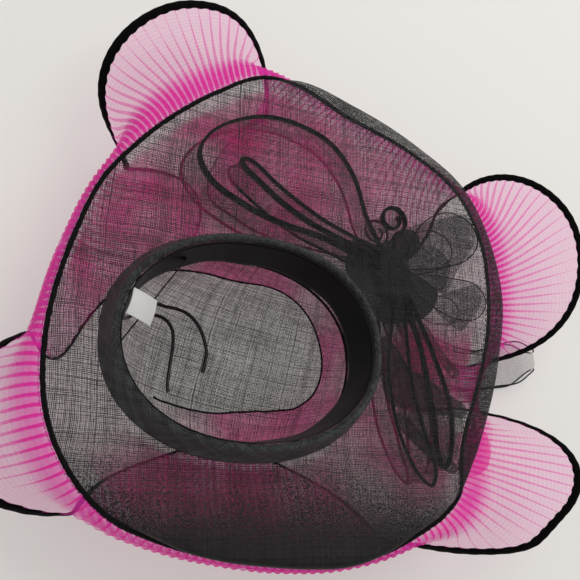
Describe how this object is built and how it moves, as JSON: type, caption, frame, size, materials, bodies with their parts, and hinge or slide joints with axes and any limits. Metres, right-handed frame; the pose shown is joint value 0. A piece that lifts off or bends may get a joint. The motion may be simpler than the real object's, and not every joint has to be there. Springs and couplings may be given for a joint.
{
  "type": "wide brimmed hat",
  "caption": "Wide brimmed see-through straw hat lying crown down, with a head collar, a bound rim, a pleated organza ruffle in fan lobes and a bow of loops.",
  "frame": {"origin": "middle of the flat crown tip, on the surface that the hat lies on", "axes": "+Z out of the head opening, +X along the long way of the opening towards the bow, +Y to the side of the long bow loop"},
  "size_m": [0.5831, 0.488, 0.1132],
  "materials": {
    "sinamay": "open weave of stiff black straw yarns, half see-through",
    "bias_trim": "black bias strip of fine woven straw, slightly fuzzy",
    "collar_mesh": "doubled black woven straw with a faint lustre",
    "satin": "black satin ribbon",
    "organza": "sheer magenta organza in knife pleats",
    "velvet": "matte black velvet ribbon",
    "bow_mesh": "black woven straw ribbon",
    "net": "sheer grey stiff net",
    "label_satin": "white woven satin, left blank",
    "elastic": "black ribbed elastic",
    "tie_ribbon": "thin black satin cord with a sheen"
  },
  "bodies": {
    "root": {"crown": "sinamay", "crown_trim": "bias_trim", "collar": "collar_mesh", "sweatband": "satin", "brim": "sinamay", "brim_binding": "bias_trim", "ruffle_panel_1": "organza", "ruffle_panel_2": "organza", "ruffle_panel_3": "organza", "ruffle_panel_4": "organza", "velvet_edge_1": "velvet", "velvet_edge_2": "velvet", "velvet_edge_3": "velvet", "velvet_edge_4": "velvet", "bow_knot": "bow_mesh", "bow_loop_long": "bow_mesh", "bow_loop_upper": "bow_mesh", "bow_loop_inner": "bow_mesh", "bow_loop_side": "bow_mesh", "bow_loop_narrow": "bow_mesh", "bow_loop_lower": "bow_mesh", "bow_curl": "bow_mesh", "net_loop": "net", "size_label": "label_satin", "size_strap": "elastic", "tie_long": "tie_ribbon", "tie_short": "tie_ribbon"}
  },
  "joints": []
}
